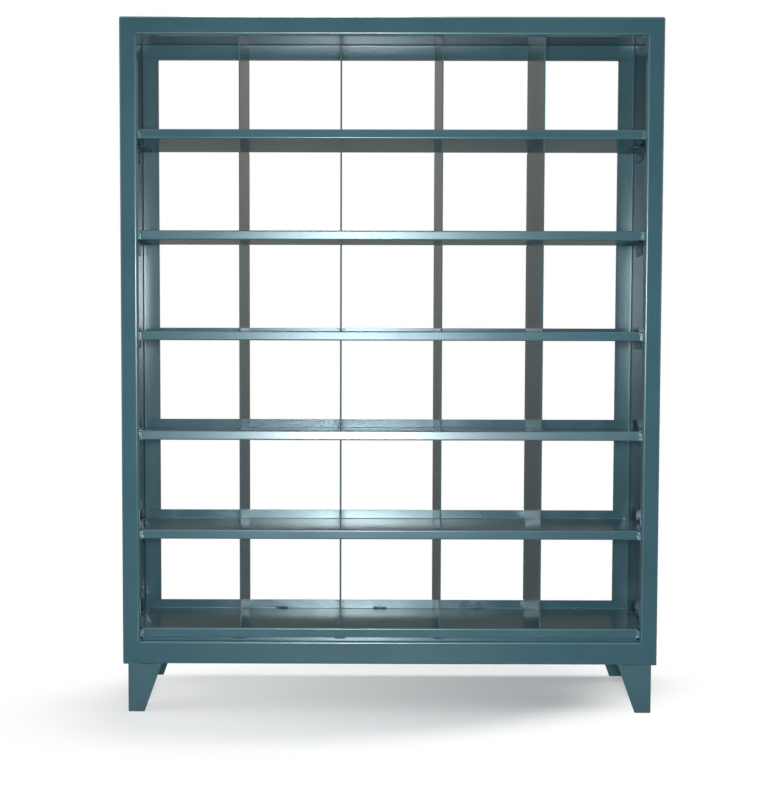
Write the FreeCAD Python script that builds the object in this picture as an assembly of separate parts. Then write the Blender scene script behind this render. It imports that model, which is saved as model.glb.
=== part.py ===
import FreeCAD, Part
import math
import os

# A free-standing rack of pigeonholes, welded from folded and painted sheet steel.
# Millimetres and degrees. X runs across the front, Y from front to rear, Z up from the floor.

# Overall size
overall_width = 1524.0
overall_depth = 304.8
body_height = 1828.8
leg_height = 141.0

# Grid of pigeonholes
columns = 5
tiers = 6

# Outer frame
frame_sheet = 2.7
frame_bend_radius = 3.0
front_stile_width = 48.0
rear_stile_width = 53.5
top_rail_height = 51.0
front_rail_height = 65.0
return_lip_depth = 19.0
ledge_depth = 46.0
bottom_flange_width = 45.0

# Shelves, which slope down to the rear and end there in a raised stop
shelf_sheet = 1.9
shelf_bend_radius = 2.0
shelf_tilt = 5.0
shelf_setback = 7.0
shelf_rear_gap = 27.8
shelf_end_gap = 16.0
front_flange_height = 27.0
flange_return_depth = 5.0
flange_end_gap = 6.0
rear_stop_height = 26.0
base_shelf_rise = 102.5
top_tier_rise = 311.0

# Dividers, hemmed along the front edge
divider_sheet = 1.5
divider_inset = 6.0
divider_rear_gap = 13.8
hem_depth = 12.0
hem_bend_radius = 0.4

# Clips that carry the rear ends of the shelves on the side walls
clip_sheet = 2.5
clip_bend_radius = 2.0
clip_length = 60.0
clip_drop = 38.0
clip_reach = 36.0
clip_inset = 22.0
clip_hole_radius = 3.5
clip_hole_drop = 28.0

# Tapered corner legs
leg_sheet = 3.4
leg_bend_radius = 3.0
leg_inset = 12.7
leg_setback = 7.6
leg_top_width = 98.0
leg_bottom_width = 47.0

# Strip between the base shelf and the front bottom rail
strip_sheet = 2.7

# Weld beads
shelf_bead_width = 14.0
shelf_bead_proud = 3.5
corner_bead_leg = 6.0
corner_bead_length = 8.0
tack_bead_leg = 4.0
tack_bead_width = 34.0
leg_bead_leg = 4.0
leg_bead_length = 40.0
bead_crown_share = 0.22

# Clearances
notch_clearance = 4.0
seat_clearance = 1.0
seat_gap = 0.2
overrun = 20.0
shortest_edge = 0.001

# Worked out from the sizes above
half_width = overall_width / 2
front_y = -overall_depth / 2
rear_y = overall_depth / 2
body_bottom = leg_height
body_top = leg_height + body_height
half_opening = half_width - front_stile_width
wall_face = half_width - frame_sheet
frame_outer_radius = frame_bend_radius + frame_sheet
shelf_outer_radius = shelf_bend_radius + shelf_sheet
rail_underside = body_top - top_rail_height
shelf_front = front_y + shelf_setback
shelf_depth = overall_depth - shelf_setback - shelf_rear_gap
shelf_half_length = wall_face - shelf_end_gap
divider_front = shelf_front + divider_inset
divider_depth = rear_y - divider_rear_gap - divider_front
tier_pitch = (body_height - base_shelf_rise - top_tier_rise) / (tiers - 1)
column_pitch = 2 * half_opening / columns
shelf_heights = [body_bottom + base_shelf_rise + tier_pitch * tier for tier in range(tiers)]
divider_lines = [-half_opening + column_pitch * line for line in range(1, columns)]

# The rear bottom rail is as high as the lowest line of the base shelf, at the fold of its stop.
slope = math.radians(shelf_tilt)
fold_run = (shelf_depth - shelf_outer_radius) * math.sin(slope)
fold_drop = fold_run + shelf_outer_radius - shelf_bend_radius * math.cos(slope)
rear_rail_height = base_shelf_rise - fold_drop - seat_gap

vec = FreeCAD.Vector
across_x = vec(1, 0, 0)
along_y = vec(0, 1, 0)
upward = vec(0, 0, 1)
left, right = -1, 1
at_front, at_rear = -1, 1


def block(low, high):
    size = high - low
    return Part.makeBox(size.x, size.y, size.z, low)


def sheet_side(path, runs, normal, thickness, bend_radius, side):
    # One face of a folded sheet, as a start point, an arc at each fold and an end point.
    half = side * thickness / 2
    middle_radius = bend_radius + thickness / 2
    stations = [[path[0] + normal.cross(runs[0]) * half]]
    for corner, before, after in zip(path[1:-1], runs, runs[1:]):
        toward = 1 if normal.dot(before.cross(after)) > 0 else -1
        reach = middle_radius * math.tan(before.getAngle(after) / 2)
        start = corner - before * reach
        end = corner + after * reach
        centre = start + normal.cross(before) * (toward * middle_radius)
        outward = (corner - centre).normalize()
        stations.append([
            start + normal.cross(before) * half,
            centre + outward * (middle_radius - toward * half),
            end + normal.cross(after) * half,
        ])
    stations.append([path[-1] + normal.cross(runs[-1]) * half])
    return stations


def folded_sheet(path, sweep, thickness, bend_radius):
    # A sheet folded along its middle line, swept straight along the folds.
    normal = vec(sweep).normalize()
    runs = [(there - here).normalize() for here, there in zip(path, path[1:])]
    near = sheet_side(path, runs, normal, thickness, bend_radius, 1)
    far = sheet_side(path, runs, normal, thickness, bend_radius, -1)
    outline = near + [station[::-1] for station in far[::-1]] + near[:1]
    edges = []
    for here, there in zip(outline, outline[1:]):
        if len(here) > 1:
            edges.append(Part.Arc(*here).toShape())
        if here[-1].distanceToPoint(there[0]) > shortest_edge:
            edges.append(Part.makeLine(here[-1], there[0]))
    return Part.Face(Part.Wire(edges)).extrude(sweep)


def weld_bead(corner, along_one, along_other, sweep):
    # A fillet weld in an inside corner, with a leg on each wall and a crowned face.
    one = corner + along_one
    other = corner + along_other
    crown = (one + other) / 2 + (along_one + along_other) * bead_crown_share / 2
    edges = [
        Part.makeLine(corner, one),
        Part.Arc(one, crown, other).toShape(),
        Part.makeLine(other, corner),
    ]
    return Part.Face(Part.Wire(edges)).extrude(sweep)


def lay_on_slope(shape, front_edge_height):
    # Takes what is drawn on a level shelf, from its front top edge, to the sloping one.
    turn = FreeCAD.Rotation(across_x, -shelf_tilt)
    seated = shape.copy()
    seated.Placement = FreeCAD.Placement(vec(0, shelf_front, front_edge_height), turn)
    return seated


def stile(hand, end, width, low_z, high_z, with_lip):
    # One edge of a side panel: half of the wall, the stile and, where it is free, its return lip.
    half_sheet = frame_sheet / 2
    wall_x = hand * (half_width - half_sheet)
    face_y = end * (overall_depth / 2 - half_sheet)
    edge_x = hand * (half_width - width)
    profile = [vec(wall_x, 0, low_z), vec(wall_x, face_y, low_z), vec(edge_x, face_y, low_z)]
    if with_lip:
        profile[-1] += across_x * (hand * half_sheet)
        profile.append(vec(profile[-1].x, end * (overall_depth / 2 - return_lip_depth), low_z))
    return folded_sheet(profile, upward * (high_z - low_z), frame_sheet, frame_bend_radius)


def side_panel(hand):
    # Wall and two stiles folded from one sheet. Beside the bottom rails the stiles have no lip.
    pieces = []
    for end, width, rail_height in (
            (at_front, front_stile_width, front_rail_height),
            (at_rear, rear_stile_width, rear_rail_height)):
        rail_top = body_bottom + rail_height
        pieces.append(stile(hand, end, width, body_bottom, rail_top, False))
        pieces.append(stile(hand, end, width, rail_top, rail_underside, True))
    panel = pieces[0].multiFuse(pieces[1:])

    # The lower edge of the wall is turned in as a flange that the legs are welded under.
    wall_x = hand * (half_width - frame_sheet / 2)
    flange_x = hand * (half_width - bottom_flange_width)
    flange_z = body_bottom + frame_sheet / 2
    flange_start = front_y + return_lip_depth + seat_clearance
    flange_span = overall_depth - 2 * (return_lip_depth + seat_clearance)
    fold_top = body_bottom + frame_outer_radius
    profile = [
        vec(wall_x, flange_start, fold_top),
        vec(wall_x, flange_start, flange_z),
        vec(flange_x, flange_start, flange_z),
    ]
    flange = folded_sheet(profile, along_y * flange_span, frame_sheet, frame_bend_radius)
    wall_span = sorted([hand * wall_face, hand * (half_width + overrun)])
    relief = block(
        vec(wall_span[0], flange_start, body_bottom - overrun),
        vec(wall_span[1], flange_start + flange_span, fold_top))
    return panel.cut(relief).fuse(flange).removeSplitter()


def rounded_block(low, high, radius):
    # A block with its upright and top edges rounded.
    solid = block(low, high)
    edges = []
    for edge in solid.Edges:
        ends = [vertex.Point.z for vertex in edge.Vertexes]
        if max(ends) == solid.BoundBox.ZMax:
            edges.append(edge)
    return solid.makeFillet(radius, edges)


def top_panel():
    # A shallow pan turned over: its edges are the top rails, and the long ones have a return lip.
    outer = rounded_block(
        vec(-half_width, front_y, rail_underside),
        vec(half_width, rear_y, body_top), frame_outer_radius)
    hollow = rounded_block(
        vec(-wall_face, front_y + frame_sheet, rail_underside - overrun),
        vec(wall_face, rear_y - frame_sheet, body_top - frame_sheet), frame_bend_radius)
    pan = outer.cut(hollow)
    fold_top = rail_underside + frame_outer_radius
    lip_z = rail_underside + frame_sheet / 2
    for end, half_length in ((at_front, half_opening), (at_rear, half_width - rear_stile_width)):
        face_y = end * (overall_depth - frame_sheet) / 2
        lip_y = end * (overall_depth / 2 - return_lip_depth)
        depth_span = sorted([end * (overall_depth / 2 - frame_sheet), end * (overall_depth / 2 + overrun)])
        relief = block(
            vec(-half_length, depth_span[0], rail_underside - overrun),
            vec(half_length, depth_span[1], fold_top))
        profile = [
            vec(-half_length, face_y, fold_top),
            vec(-half_length, face_y, lip_z),
            vec(-half_length, lip_y, lip_z),
        ]
        lip = folded_sheet(profile, across_x * (2 * half_length), frame_sheet, frame_bend_radius)
        pan = pan.cut(relief).fuse(lip)
    return pan.removeSplitter()


def bottom_rail(end, half_length, height):
    # A channel with its face outward, let in between the stiles. Its deep upper flange is a ledge.
    half_sheet = frame_sheet / 2
    face_y = end * (overall_depth / 2 - half_sheet)
    upper_z = body_bottom + height - half_sheet
    lower_z = body_bottom + half_sheet
    profile = [
        vec(-half_length, end * (overall_depth / 2 - ledge_depth), upper_z),
        vec(-half_length, face_y, upper_z),
        vec(-half_length, face_y, lower_z),
        vec(-half_length, end * (overall_depth / 2 - return_lip_depth), lower_z),
    ]
    return folded_sheet(profile, across_x * (2 * half_length), frame_sheet, frame_bend_radius)


def level_shelf():
    # Front flange down with its edge turned in, rear stop up, front corners cut back to pass the stile lips.
    half_sheet = shelf_sheet / 2
    edge_z = half_sheet - front_flange_height
    profile = [
        vec(-shelf_half_length, flange_return_depth, edge_z),
        vec(-shelf_half_length, half_sheet, edge_z),
        vec(-shelf_half_length, half_sheet, -half_sheet),
        vec(-shelf_half_length, shelf_depth - half_sheet, -half_sheet),
        vec(-shelf_half_length, shelf_depth - half_sheet, rear_stop_height),
    ]
    tray = folded_sheet(profile, across_x * (2 * shelf_half_length), shelf_sheet, shelf_bend_radius)
    notch_depth = return_lip_depth - shelf_setback + notch_clearance
    notch_length = front_stile_width + overrun
    for hand in (left, right):
        inner = hand * (half_opening - flange_end_gap)
        span = sorted([inner, inner + hand * notch_length])
        notch = block(
            vec(span[0], -overrun, -front_flange_height - overrun),
            vec(span[1], notch_depth, overrun))
        tray = tray.cut(notch)
    return tray


def hemmed_sheet(line_x, low_z, high_z):
    # A tall upright sheet with its front edge folded back on itself.
    half_sheet = divider_sheet / 2
    hem_x = line_x + 2 * hem_bend_radius + divider_sheet
    profile = [
        vec(line_x, divider_front + divider_depth, low_z),
        vec(line_x, divider_front + half_sheet, low_z),
        vec(hem_x, divider_front + half_sheet, low_z),
        vec(hem_x, divider_front + hem_depth, low_z),
    ]
    return folded_sheet(profile, upward * (high_z - low_z), divider_sheet, hem_bend_radius)


def divider(line_x, tier):
    # Stands on one shelf, is notched over its rear stop, and meets the shelf or the top above.
    shelf_z = shelf_heights[tier]
    low_z = shelf_z - shelf_depth * math.sin(slope) - overrun
    if tier + 1 < tiers:
        high_z = shelf_heights[tier + 1]
    else:
        high_z = body_top - frame_sheet
    sheet = hemmed_sheet(line_x, low_z, high_z)

    one_side = line_x - column_pitch / 2
    other_side = line_x + column_pitch / 2
    past_front = -overrun
    past_rear = divider_inset + divider_depth + overrun
    below = block(
        vec(one_side, past_front, -overall_depth),
        vec(other_side, past_rear, 0))
    stop_notch = block(
        vec(one_side, shelf_depth - shelf_outer_radius - seat_clearance, -overall_depth),
        vec(other_side, past_rear, rear_stop_height + seat_clearance))
    for cutter in (below, stop_notch):
        sheet = sheet.cut(lay_on_slope(cutter, shelf_z))
    if tier + 1 < tiers:
        above = block(
            vec(one_side, past_front, -shelf_sheet),
            vec(other_side, past_rear, overall_depth))
        return sheet.cut(lay_on_slope(above, high_z))
    lip_reach = return_lip_depth + seat_clearance
    for start in (front_y, rear_y - lip_reach):
        sheet = sheet.cut(block(
            vec(one_side, start, rail_underside - seat_clearance),
            vec(other_side, start + lip_reach, body_top)))
    return sheet


def shelf_clip(hand):
    # An angle on the side wall, with one leg under the shelf and a hole in the other.
    half_sheet = clip_sheet / 2
    wall_x = hand * (wall_face - half_sheet)
    start = shelf_depth - clip_inset - clip_length
    ledge_z = -shelf_sheet - half_sheet
    profile = [
        vec(wall_x, start, -shelf_sheet - clip_drop),
        vec(wall_x, start, ledge_z),
        vec(hand * (wall_face - clip_reach), start, ledge_z),
    ]
    angle = folded_sheet(profile, along_y * clip_length, clip_sheet, clip_bend_radius)
    hole_centre = vec(hand * wall_face, start + clip_length / 2, -shelf_sheet - clip_hole_drop)
    hole = Part.makeCylinder(clip_hole_radius, clip_sheet + overrun, hole_centre, across_x * -hand)
    return angle.cut(hole)


def shelf_end_bead(hand):
    # Welds the end of a shelf's front flange to the stile lip, across the gap between them.
    length = front_flange_height - shelf_outer_radius
    corner = vec(hand * half_opening, 0, -front_flange_height)
    return weld_bead(
        corner, across_x * (-hand * shelf_bead_width), along_y * -shelf_bead_proud, upward * length)


def frame_corner_bead(hand, rail_z, into_opening):
    # Welds a rail lip to the stile lip in an inner corner of the front frame.
    corner = vec(hand * half_opening, front_y + frame_outer_radius, rail_z)
    return weld_bead(
        corner, across_x * (-hand * corner_bead_leg), upward * (into_opening * corner_bead_leg),
        along_y * corner_bead_length)


def base_strip():
    # Stands on the front bottom rail, behind the base shelf's front flange and between its corner beads.
    half_length = half_opening - corner_bead_leg - seat_clearance
    upright = block(
        vec(-half_length, flange_return_depth, -base_shelf_rise),
        vec(half_length, flange_return_depth + strip_sheet, -shelf_outer_radius - strip_sheet))
    rail_top = body_bottom + front_rail_height
    below = block(
        vec(-half_width, front_y - overrun, body_bottom - overall_depth),
        vec(half_width, rear_y, rail_top))
    return lay_on_slope(upright, shelf_heights[0]).cut(below)


def strip_tack(line_x):
    # Welds the turned-in edge of the base shelf's front flange to the strip.
    corner = vec(line_x - tack_bead_width / 2, flange_return_depth, -front_flange_height)
    return weld_bead(corner, along_y * -tack_bead_leg, upward * -tack_bead_leg, across_x * tack_bead_width)


def corner_leg(hand, end):
    # A right-angle plate leg, with both plates tapered towards the floor.
    half_sheet = leg_sheet / 2
    corner_x = hand * (half_width - leg_inset)
    corner_y = end * (overall_depth / 2 - leg_setback)
    plate_x = corner_x - hand * half_sheet
    plate_y = corner_y - end * half_sheet
    profile = [
        vec(corner_x - hand * leg_top_width, plate_y, 0),
        vec(plate_x, plate_y, 0),
        vec(plate_x, corner_y - end * leg_top_width, 0),
    ]
    leg = folded_sheet(profile, upward * leg_height, leg_sheet, leg_bend_radius)

    def taper(inward, corner, sweep):
        outline = [
            corner + inward * leg_bottom_width,
            corner + inward * leg_top_width + upward * leg_height,
            corner + inward * (leg_top_width + overrun) + upward * leg_height,
            corner + inward * (leg_top_width + overrun),
        ]
        return Part.Face(Part.makePolygon(outline + outline[:1])).extrude(sweep)

    reach = leg_top_width + overrun
    outer = vec(corner_x, corner_y, 0)
    front_cut = taper(across_x * -hand, outer + along_y * (end * overrun), along_y * (-end * reach))
    side_cut = taper(along_y * -end, outer + across_x * (hand * overrun), across_x * (-hand * reach))
    return leg.cut(front_cut).cut(side_cut)


def leg_beads(hand, end):
    # One bead under the bottom rail and one under the side panel's flange.
    corner_x = hand * (half_width - leg_inset)
    corner_y = end * (overall_depth / 2 - leg_setback)
    rail_end = half_width - max(front_stile_width, rear_stile_width)
    under_rail = weld_bead(
        vec(hand * rail_end, corner_y, body_bottom),
        along_y * (end * leg_bead_leg), upward * -leg_bead_leg, across_x * (-hand * leg_bead_length))
    flange_start = end * (overall_depth / 2 - return_lip_depth - seat_clearance)
    under_flange = weld_bead(
        vec(corner_x, flange_start, body_bottom),
        across_x * (hand * leg_bead_leg), upward * -leg_bead_leg, along_y * (-end * leg_bead_length))
    return [under_rail, under_flange]


def build_parts():
    parts = {
        "left_side_panel": side_panel(left),
        "right_side_panel": side_panel(right),
        "top_panel": top_panel(),
        "front_bottom_rail": bottom_rail(at_front, half_opening, front_rail_height),
        "rear_bottom_rail": bottom_rail(at_rear, half_width - rear_stile_width, rear_rail_height),
    }
    shelf = level_shelf()
    for tier, height in enumerate(shelf_heights):
        name = "shelf_%d" % tier if tier else "base_shelf"
        parts[name] = lay_on_slope(shelf, height)
        for number, line_x in enumerate(divider_lines, 1):
            parts["divider_tier%d_%d" % (tier + 1, number)] = divider(line_x, tier)
    for hand, side in ((left, "left"), (right, "right")):
        for end, place in ((at_front, "front"), (at_rear, "rear")):
            parts["%s_%s_leg" % (place, side)] = corner_leg(hand, end)

    clips = []
    end_beads = []
    for height in shelf_heights:
        for hand in (left, right):
            clips.append(lay_on_slope(shelf_clip(hand), height))
            end_beads.append(lay_on_slope(shelf_end_bead(hand), height))
    corner_beads = []
    leg_bead_list = []
    for hand in (left, right):
        corner_beads.append(frame_corner_bead(hand, rail_underside, -1))
        corner_beads.append(frame_corner_bead(hand, body_bottom + front_rail_height, 1))
        for end in (at_front, at_rear):
            leg_bead_list += leg_beads(hand, end)
    parts["shelf_clips"] = Part.makeCompound(clips)
    parts["shelf_end_welds"] = Part.makeCompound(end_beads)
    parts["frame_corner_welds"] = Part.makeCompound(corner_beads)
    parts["leg_welds"] = Part.makeCompound(leg_bead_list)
    parts["base_shelf_strip"] = base_strip()
    tacks = [lay_on_slope(strip_tack(line_x), shelf_heights[0]) for line_x in divider_lines]
    parts["base_shelf_tacks"] = Part.makeCompound(tacks)
    return parts


os.makedirs("parts", exist_ok=True)
for node, shape in build_parts().items():
    shape.exportStep("parts/%s.step" % node)
    print(node, len(shape.Solids), "solids", round(shape.Volume), "mm3", shape.isValid())
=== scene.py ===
import math

import bmesh
import bpy
import mathutils
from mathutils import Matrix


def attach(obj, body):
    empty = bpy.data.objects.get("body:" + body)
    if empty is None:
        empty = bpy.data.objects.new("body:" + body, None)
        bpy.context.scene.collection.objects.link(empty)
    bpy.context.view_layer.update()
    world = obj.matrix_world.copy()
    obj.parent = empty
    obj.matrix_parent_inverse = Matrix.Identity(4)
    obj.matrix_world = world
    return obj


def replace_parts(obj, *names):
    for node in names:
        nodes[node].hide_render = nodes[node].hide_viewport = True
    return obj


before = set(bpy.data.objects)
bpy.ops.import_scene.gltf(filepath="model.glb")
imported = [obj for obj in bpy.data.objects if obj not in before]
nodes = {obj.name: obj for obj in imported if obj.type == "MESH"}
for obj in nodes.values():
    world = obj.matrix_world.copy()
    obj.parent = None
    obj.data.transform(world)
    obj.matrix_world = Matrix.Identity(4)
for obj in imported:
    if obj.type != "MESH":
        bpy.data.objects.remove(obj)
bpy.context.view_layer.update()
scene = bpy.context.scene
scene.view_settings.view_transform = "Standard"
print("frame loaded:", len(nodes), "nodes")


class Wire:  # one shader socket; sums and products of wires add their own Math nodes
    def __init__(self, tree, socket=None):
        self.tree = tree
        self.socket = socket

    def add(self, kind, settings, inputs, out=0):
        node = self.tree.nodes.new(kind)
        for name, value in settings.items():
            setattr(node, name, value)
        for name, value in inputs.items():
            if isinstance(value, Wire):
                self.tree.links.new(value.socket, node.inputs[name])
            else:
                node.inputs[name].default_value = value
        return Wire(self.tree, node.outputs[out] if node.outputs else None)

    def math(self, operation, first, second=0.0):
        return self.add("ShaderNodeMath", {"operation": operation}, {0: first, 1: second})

    def __add__(self, other):
        return self.math("ADD", self, other)

    def __radd__(self, other):
        return self.math("ADD", other, self)

    def __sub__(self, other):
        return self.math("SUBTRACT", self, other)

    def __rsub__(self, other):
        return self.math("SUBTRACT", other, self)

    def __mul__(self, other):
        return self.math("MULTIPLY", self, other)

    def __rmul__(self, other):
        return self.math("MULTIPLY", other, self)

    def vector(self, operation, first, second=(0, 0, 0), out=0):
        return self.add("ShaderNodeVectorMath", {"operation": operation}, {0: first, 1: second}, out)

    def step(self, low, high):  # 0 below low, 1 above high, smooth between
        return self.add("ShaderNodeMapRange", {"interpolation_type": "SMOOTHSTEP"},
                        {"Value": self, "From Min": low, "From Max": high})

    def noise(self, scale, detail, roughness=0.5):
        return self.add("ShaderNodeTexNoise", {},
                        {"Vector": self, "Scale": scale, "Detail": detail, "Roughness": roughness})

    def bump(self, height, depth):  # this wire is the normal that the bumps start from
        return self.add("ShaderNodeBump", {},
                        {"Strength": 1.0, "Distance": depth, "Height": height, "Normal": self})

    def axis(self, name):
        return self.add("ShaderNodeSeparateXYZ", {}, {0: self}, name)

    def blend(self, first, second):  # colour first where this wire is 0, second where it is 1
        return self.add("ShaderNodeMix", {"data_type": "RGBA"}, {0: self, 6: first, 7: second}, 2)


def newMaterial(name):
    material = bpy.data.materials.new(name)
    material.use_nodes = True
    material.node_tree.nodes.clear()
    return material, Wire(material.node_tree)


# parts of the rack, by depth in metres, and faces, by their normals, that take the paint differently
zones = {
    "frameFace": (-0.1520, -0.1508),  # the front frame's own face ends here
    "trayLip": (-0.141, -0.139),  # and the trays' front edges here
    "rear": (0.10, 0.12),  # stops, rear stiles and rear rails begin here
    "ahead": (0.90, 0.995), "upward": (0.55, 0.95),
    "foldFrom": (0.15, 0.30), "foldTo": (0.990, 0.9955),
}

# the blue-green enamel of every sheet; a grain is a noise's scale, detail and roughness
plainEnamel = {
    "deepTone": (0.030, 0.079, 0.099, 1), "paleTone": (0.037, 0.094, 0.116, 1),
    "cloudGrain": (3.2, 3.0), "cloudSpan": (0.3, 0.7), "cloudRoughness": 0.04,
    "speckTone": (0.075, 0.150, 0.180, 1), "speckShare": 0.16,
    "speckGrain": (700.0, 1.0), "speckSpan": (0.62, 0.72),
    "scuffGrain": (38.0, 6.0, 0.7), "scuffSpan": (0.52, 0.74), "scuffRoughness": 0.03,
    "dustTone": (0.20, 0.21, 0.20, 1), "dust": 0.10, "dustGrain": (24.0, 5.0, 0.65), "dustRoughness": 0.06,
    "edgeTone": (0.16, 0.26, 0.30, 1), "edgeWear": 0.35, "edgeWidth": 0.0016, "edgeSpan": (0.03, 0.30),
    "edgeGrain": (60.0, 4.0, 0.6), "edgeGrainSpan": (0.35, 0.65), "edgeRoughness": 0.05, "edgeSamples": 4,
    "peelGrain": (420.0, 2.0, 0.45), "peelDepth": 0.000012,
    "waveGrain": (5.0, 1.0), "waveDepth": 0.0006,
    "lean": 0.0, "stopLean": 0.0,
    "roughness": 0.13,  # the other roughnesses add to it
    "aheadRoughness": 0.17, "outerRoughness": -0.10, "rearRoughness": 0.0, "bendRoughness": 0.18,
    "coat": 0.0, "rearCoat": 0.0, "bendCoat": 0.8, "coatRoughness": 0.24,
    "ior": 1.62, "gloss": (0.80, 0.94, 1.0, 1),
}


def enamel(name, finish):
    material, start = newMaterial(name)
    place = start.add("ShaderNodeTexCoord", {}, {}, "Object")
    facing = start.add("ShaderNodeNewGeometry", {}, {}, "Normal")
    cloud = place.noise(*finish["cloudGrain"])
    speck = place.noise(*finish["speckGrain"])
    scuff = place.noise(*finish["scuffGrain"]).step(*finish["scuffSpan"])
    dust = facing.axis("Z").step(*zones["upward"]) * place.noise(*finish["dustGrain"])
    ahead = (0 - facing.axis("Y")).step(*zones["ahead"])  # faces turned to the front, with coarser paint
    outer = 1 - place.axis("Y").step(*zones["frameFace"])  # of these, the front frame's own
    rear = place.axis("Y").step(*zones["rear"])  # and the ones at the back
    turn = start.math("ABSOLUTE", facing.axis("Y"))
    bend = turn.step(*zones["foldFrom"]) * (1 - turn.step(*zones["foldTo"]))  # folds, with thick paint

    # edges, where the paint pulls thin, are where a rounded normal leaves the true one
    rounded = start.add("ShaderNodeBevel", {"samples": finish["edgeSamples"]},
                        {"Radius": finish["edgeWidth"]})
    agree = start.vector("DOT_PRODUCT", rounded, facing, "Value")
    patchy = place.noise(*finish["edgeGrain"]).step(*finish["edgeGrainSpan"])
    edge = (1 - agree).step(*finish["edgeSpan"]) * patchy

    tone = cloud.step(*finish["cloudSpan"]).blend(finish["deepTone"], finish["paleTone"])
    tone = (speck.step(*finish["speckSpan"]) * finish["speckShare"]).blend(tone, finish["speckTone"])
    tone = (dust * finish["dust"]).blend(tone, finish["dustTone"])
    tone = (edge * finish["edgeWear"]).blend(tone, finish["edgeTone"])

    rough = finish["roughness"] + (cloud - 0.5) * finish["cloudRoughness"]
    rough = rough + scuff * finish["scuffRoughness"] + dust * finish["dustRoughness"]
    coarse = finish["aheadRoughness"] + outer * finish["outerRoughness"] + rear * finish["rearRoughness"]
    rough = rough + ahead * coarse + bend * finish["bendRoughness"] + edge * finish["edgeRoughness"]

    coat = (1 - rear) * finish["coat"] + rear * finish["rearCoat"]
    coat = ahead * coat + bend * finish["bendCoat"]  # a second, sharper gloss

    if finish["lean"] or finish["stopLean"]:  # shading normals tilted as if the edges were folded a little off square, in front and at the back
        lip = 1 - place.axis("Y").step(*zones["trayLip"])
        lean = lip * finish["lean"] + rear * finish["stopLean"]
        slant = start.add("ShaderNodeCombineXYZ", {}, {"Z": ahead * lean})
        rounded = start.vector("NORMALIZE", start.vector("ADD", rounded, slant))
    swell = rounded.bump(place.noise(*finish["waveGrain"]), finish["waveDepth"])
    skin = swell.bump(place.noise(*finish["peelGrain"]), finish["peelDepth"])

    paint = start.add("ShaderNodeBsdfPrincipled", {},
                      {"Base Color": tone, "Roughness": rough, "Normal": skin, "IOR": finish["ior"],
                       "Specular Tint": finish["gloss"], "Coat Weight": coat,
                       "Coat Roughness": finish["coatRoughness"], "Coat IOR": finish["ior"]})
    start.add("ShaderNodeOutputMaterial", {}, {"Surface": paint})
    return material


# what sets each finish apart from the plain enamel
side = {"roughness": 0.115, "aheadRoughness": 0.185, "rearRoughness": 0.10, "waveDepth": 0.0005}
tray = {"cloudGrain": (4.5, 3.0), "dust": 0.05, "waveDepth": 0.0010,
        "rearRoughness": -0.02, "rearCoat": 0.2}
finishes = {
    "frame": {"rearRoughness": 0.05, "rearCoat": 0.3},
    "left": {**side, "rearCoat": 0.42, "coatRoughness": 0.20},
    "right": {**side, "rearCoat": 0.15},
    "tray": tray,
    "base": {**tray, "roughness": 0.16, "aheadRoughness": 0.14, "waveDepth": 0.0024},
    "tuckedTray": {**tray, "lean": -0.11},
    "openTray": {**tray, "aheadRoughness": 0.22, "coat": 1.0, "rearRoughness": -0.07, "rearCoat": 0.0,
                 "lean": 0.055, "stopLean": -0.07},
    "strip": {**tray, "aheadRoughness": 0.06, "lean": 0.166},
    "divider": {"roughness": 0.20, "waveGrain": (4.0, 1.0)},
    "leg": {"roughness": 0.34, "edgeWear": 0.5, "cloudGrain": (9.0, 3.0)},
    "clip": {"roughness": 0.32, "cloudGrain": (14.0, 3.0)},
    "bead": {"cloudGrain": (60.0, 3.0), "peelGrain": (260.0, 2.0, 0.45), "peelDepth": 0.0006,
             "roughness": 0.28, "aheadRoughness": 0.0, "outerRoughness": 0.0, "bendRoughness": 0.0,
             "bendCoat": 0.0},
}
finishOf = {
    "left_side_panel": "left", "right_side_panel": "right", "base_shelf": "base", "shelf_2": "openTray",
    "shelf_4": "tuckedTray", "base_shelf_strip": "strip", "shelf_clips": "clip",
}


def finishFor(name):
    if name.endswith("_leg"):
        return "leg"
    if name.startswith("divider"):
        return "divider"
    if name.endswith(("welds", "tacks")):
        return "bead"
    return finishOf.get(name, "tray" if name.startswith("shelf") else "frame")


enamels = {}
for name, changes in finishes.items():
    enamels[name] = enamel(name + "Enamel", {**plainEnamel, **changes})
for name, node in nodes.items():
    node.material_slots[0].material = enamels[finishFor(name)]
print("enamel on", len(nodes), "nodes")


# weld beads run by hand: the plain CAD beads, melted and lumpy, and tacks along the base shelf's rear fold
beads = {
    "plain": ["shelf_end_welds", "frame_corner_welds", "leg_welds", "base_shelf_tacks"],
    "voxel": 0.0008, "meltSteps": 5, "meltFactor": 0.5,
    "lumpSize": 0.0045, "lumpHeight": 0.0022, "lumpLevel": 0.45,
    "tackPlaces": [-0.325, -0.021, 0.284, 0.588],  # x of each
    "tackFold": (0.1206, 0.2221),  # y and z of the fold
    "tackLength": 0.034, "tackDrops": 7, "dropFacets": 2, "tackRadius": 0.0034, "tackTaper": 0.5,
    "swayTurn": (5.1, 2.3),  # radians from drop to drop and from tack to tack
    "swayHeight": 0.0006, "swayRadius": 0.15,
}
lumps = bpy.data.textures.new("beadLumps", "CLOUDS")
lumps.noise_scale = beads["lumpSize"]


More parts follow.
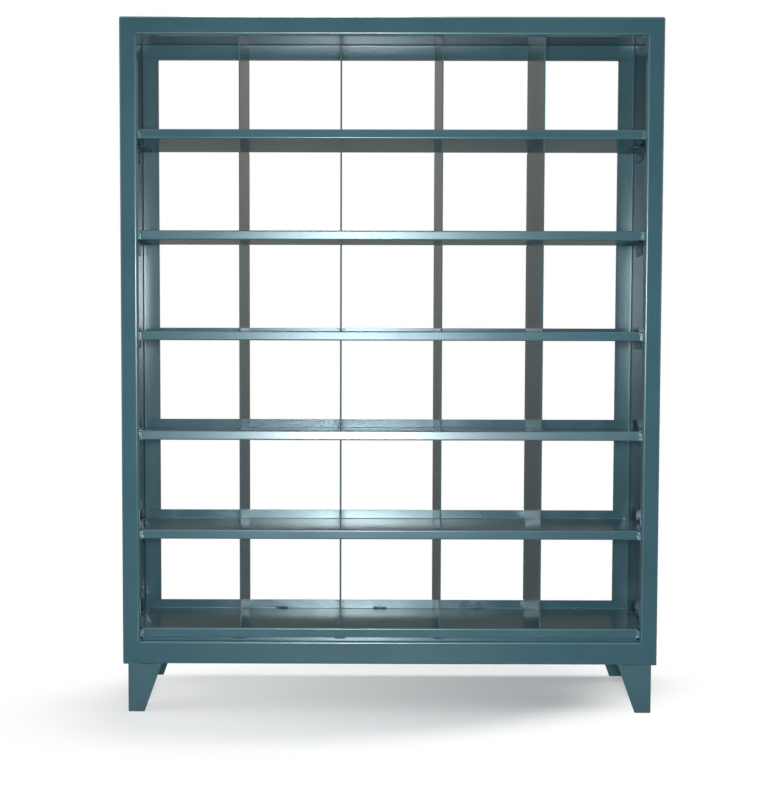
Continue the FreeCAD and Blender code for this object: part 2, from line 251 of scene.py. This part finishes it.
def weld(name, mesh):
    piece = bpy.data.objects.new(name, mesh)
    scene.collection.objects.link(piece)
    skin = piece.modifiers.new("skin", "REMESH")
    skin.mode = "VOXEL"
    skin.voxel_size = beads["voxel"]
    skin.use_smooth_shade = True
    melt = piece.modifiers.new("melt", "SMOOTH")
    melt.factor, melt.iterations = beads["meltFactor"], beads["meltSteps"]
    rise = piece.modifiers.new("rise", "DISPLACE")
    rise.texture, rise.texture_coords = lumps, "LOCAL"
    rise.strength, rise.mid_level = beads["lumpHeight"], beads["lumpLevel"]
    mesh.materials.clear()
    mesh.materials.append(enamels["bead"])
    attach(piece, "root")
    return piece


def buildWelds():
    for name in beads["plain"]:
        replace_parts(weld(name + "_run", nodes[name].data.copy()), name)
    form = bmesh.new()
    deep, high = beads["tackFold"]
    dropTurn, tackTurn = beads["swayTurn"]
    for number, middle in enumerate(beads["tackPlaces"]):
        for drop in range(beads["tackDrops"]):  # drops of weld metal, each laid half over the last
            along = drop / (beads["tackDrops"] - 1) - 0.5
            sway = math.sin(dropTurn * drop + tackTurn * number)
            spot = (middle + along * beads["tackLength"], deep, high + beads["swayHeight"] * sway)
            girth = 1.0 - beads["tackTaper"] * along * along + beads["swayRadius"] * sway
            bmesh.ops.create_icosphere(form, subdivisions=beads["dropFacets"],
                                       radius=beads["tackRadius"] * girth,
                                       matrix=mathutils.Matrix.Translation(spot))
    mesh = bpy.data.meshes.new("base_fold_tacks")
    form.to_mesh(mesh)
    form.free()
    weld("base_fold_tacks", mesh)


buildWelds()
print("lumpy weld beads for", len(beads["plain"]), "nodes, and", len(beads["tackPlaces"]), "fold tacks")


studio = {
    "floorHalf": 14.0, "floorTone": (0.86, 0.86, 0.86, 1),
    "shadowPlace": (-0.12, -0.02, 0.0), "shadowEllipse": (1.14, 0.40), "shadowSkew": 0.15,
    "shadowReach": (0.60, 1.0),  # where the floor turns plain white
    "shadowLeft": 0.49, "shadowRight": 0.04,  # share of white in the shadow itself; more at left, it paints the lamps' shadow lighter there
    "shadowAcross": (-0.75, 0.60),  # between these it goes from left to right
    "ambient": (0.14, 0.14, 0.145, 1),
    # glowing cards round the rack, seen by gloss rays alone: a painted reflection of a dim, warm room
    "roomHalf": 6.0, "roomRear": 0.75, "roomFront": -5.2, "roomTop": 5.0, "roomLift": 0.001,
    "paintedRoomLow": (0.145, 0.157, 0.150, 1), "paintedRoomHigh": (0.40, 0.375, 0.335, 1),
    "roomRise": (0.0, 2.6), "roomDepth": (-1.0, 0.5),  # over these it goes from low to high
    "roomPaintedShade": 0.35, "roomPaintedShadeSpan": (0.10, 0.45),  # painted shade: how much darker it is to the right, and from where
    "paintedPoolPlace": (-0.10, -0.65, 0.0), "paintedPoolSpread": (0.75, 0.45),  # a painted pool of light on the reflected floor in front
    "paintedPoolTone": (1.0, 1.0, 1.0, 1), "paintedPoolFade": (0.2, 1.0),
}
white = (1, 1, 1, 1)


def seenWhite(start):  # 1 for the rays that should find a white background
    path = start.add("ShaderNodeLightPath", {}, {})
    rays = path.socket.node.outputs
    seen = Wire(start.tree, rays["Is Camera Ray"]) + Wire(start.tree, rays["Is Glossy Ray"])
    return start.math("MINIMUM", seen + Wire(start.tree, rays["Is Transmission Ray"]), 1.0)


def plane(name, corners, material):
    mesh = bpy.data.meshes.new(name)
    mesh.from_pydata(corners, [], [(0, 1, 2, 3)])
    mesh.materials.append(material)
    piece = bpy.data.objects.new(name, mesh)
    scene.collection.objects.link(piece)
    return piece


def buildFloor():  # lit, with the lamps' own shadow, inside a painted ellipse, plain white beyond; the white share paints that shadow lighter at left and darker at right
    material, start = newMaterial("floorWhite")
    place = start.add("ShaderNodeTexCoord", {}, {}, "Object")
    wide, deep = studio["shadowEllipse"]
    away = start.vector("SUBTRACT", place, studio["shadowPlace"])
    across = away.axis("X")
    along = (away.axis("Y") - across * studio["shadowSkew"]) * (1 / deep)
    across = across * (1 / wide)
    reach = start.math("SQRT", across * across + along * along)
    # the white share, larger at left, paints the lamps' real shadow lighter at left and darker at right,
    # inside a painted ellipse
    fall = studio["shadowRight"] - studio["shadowLeft"]
    lift = studio["shadowLeft"] + place.axis("X").step(*studio["shadowAcross"]) * fall
    bare = lift + (1 - lift) * reach.step(*studio["shadowReach"])
    lit = start.add("ShaderNodeBsdfDiffuse", {}, {"Color": studio["floorTone"]})
    plain = start.add("ShaderNodeEmission", {}, {"Color": white, "Strength": 1.0})
    surface = start.add("ShaderNodeMixShader", {}, {0: bare * seenWhite(start), 1: lit, 2: plain})
    start.add("ShaderNodeOutputMaterial", {}, {"Surface": surface})
    half = studio["floorHalf"]
    plane("floor", [(-half, -half, 0), (half, -half, 0), (half, half, 0), (-half, half, 0)], material)


def buildPaintedRoomReflection():  # glowing cards, dim and warm round the rack, that only the gloss of the enamel shows: a painted reflection of a room, with painted shade to the right and a painted pool of light on its floor in front
    material, start = newMaterial("paintedReflectionRoom")
    place = start.add("ShaderNodeTexCoord", {}, {}, "Object")
    rise = place.axis("Z").step(*studio["roomRise"]) * place.axis("Y").step(*studio["roomDepth"])
    # painted shade, darker to the right
    rise = rise * (1 - place.axis("X").step(*studio["roomPaintedShadeSpan"]) * studio["roomPaintedShade"])
    tone = rise.blend(studio["paintedRoomLow"], studio["paintedRoomHigh"])
    # a painted pool of light, white, on the glowing floor card in front of the rack
    wide, deep = studio["paintedPoolSpread"]
    away = start.vector("SUBTRACT", place, studio["paintedPoolPlace"])
    away = start.vector("LENGTH", start.vector("MULTIPLY", away, (1 / wide, 1 / deep, 1)), out="Value")
    tone = away.step(*studio["paintedPoolFade"]).blend(studio["paintedPoolTone"], tone)
    glow = start.add("ShaderNodeEmission", {}, {"Color": tone})
    start.add("ShaderNodeOutputMaterial", {}, {"Surface": glow})
    half, near, far = studio["roomHalf"], studio["roomFront"], studio["roomRear"]
    top, low = studio["roomTop"], studio["roomLift"]
    cards = {
        "roomRear": [(-half, far, 0), (half, far, 0), (half, far, top), (-half, far, top)],
        "roomFront": [(-half, near, 0), (half, near, 0), (half, near, top), (-half, near, top)],
        "roomFloor": [(-half, near, low), (half, near, low), (half, far, low), (-half, far, low)],
    }
    for name, corners in cards.items():
        card = plane(name, corners, material)
        card.visible_camera = False
        card.visible_diffuse = False
        card.visible_shadow = False


def buildWorld():
    world = bpy.data.worlds.new("studioWhite")
    scene.world = world
    world.use_nodes = True
    world.node_tree.nodes.clear()
    start = Wire(world.node_tree)
    sky = start.add("ShaderNodeBackground", {}, {"Color": seenWhite(start).blend(studio["ambient"], white)})
    start.add("ShaderNodeOutputWorld", {}, {"Surface": sky})


buildFloor()
buildPaintedRoomReflection()
buildWorld()
print("floor, room and white background")


# a lamp's place, what it is aimed at, its size and its power
key = {"place": (-0.10, -3.25, 1.25), "target": (0, 0, 1.05), "size": 0.58, "power": 95.0,
       "tone": (0.90, 0.985, 1.0)}
sideFill = {"target": key["target"], "size": 1.6, "power": 38.0, "mirrored": False}
lamps = {
    "keyLamp": key,
    "dividerLamp": {**key, "mirrored": False},  # no glare on the dividers seen from behind
    "topLamp": {"place": (-0.35, 0.30, 3.9), "target": (0.1, 0.0, 0.0), "size": 1.1, "power": 105.0},
    "leftFill": {**sideFill, "place": (-3.4, -0.3, 1.7)},
    "rightFill": {**sideFill, "place": (3.4, -0.3, 1.7)},
    "rearFill": {**sideFill, "place": (0.2, 3.7, 1.4), "power": 50.0},
}


def softLamp(name, place, target, size, power, tone=(1, 1, 1), mirrored=True):
    lamp = bpy.data.lights.new(name, "AREA")
    lamp.shape = "DISK"
    lamp.size = size
    lamp.energy = power
    lamp.color = tone
    holder = bpy.data.objects.new(name, lamp)
    holder.location = place
    aim = [t - p for t, p in zip(target, place)]
    flat = math.hypot(aim[0], aim[1])
    holder.rotation_euler = (math.atan2(flat, -aim[2]), 0, math.atan2(-aim[0], aim[1]))
    holder.visible_camera = False
    holder.visible_glossy = mirrored
    scene.collection.objects.link(holder)
    return holder


def onlyFor(lamp, name, state):  # the lamp lights the dividers alone, or all but the dividers
    sheets = bpy.data.collections.new(name)
    for nodeName, node in nodes.items():
        if nodeName.startswith("divider"):
            sheets.objects.link(node)
    for sheet in sheets.collection_objects:
        sheet.light_linking.link_state = state
    lamp.light_linking.receiver_collection = sheets


holders = {name: softLamp(name, **look) for name, look in lamps.items()}
onlyFor(holders["keyLamp"], "allButDividers", "EXCLUDE")
onlyFor(holders["dividerLamp"], "dividersAlone", "INCLUDE")
print(len(holders), "lamps")


view = {
    "place": (-0.1017, -2.9742, 1.1620),
    "turn": (87.7991, -0.1262, 0.1563),  # degrees
    "lens": 45.080, "sensor": 36.0, "shift": (0.04172, -0.06886), "reach": 60.0,
}
camera = bpy.data.cameras.new("photoCamera")
camera.lens = view["lens"]
camera.sensor_width = view["sensor"]
camera.shift_x, camera.shift_y = view["shift"]
camera.clip_end = view["reach"]
holder = bpy.data.objects.new("photoCamera", camera)
holder.location = view["place"]
holder.rotation_euler = [math.radians(a) for a in view["turn"]]
scene.collection.objects.link(holder)
scene.camera = holder
print("camera at", view["place"])
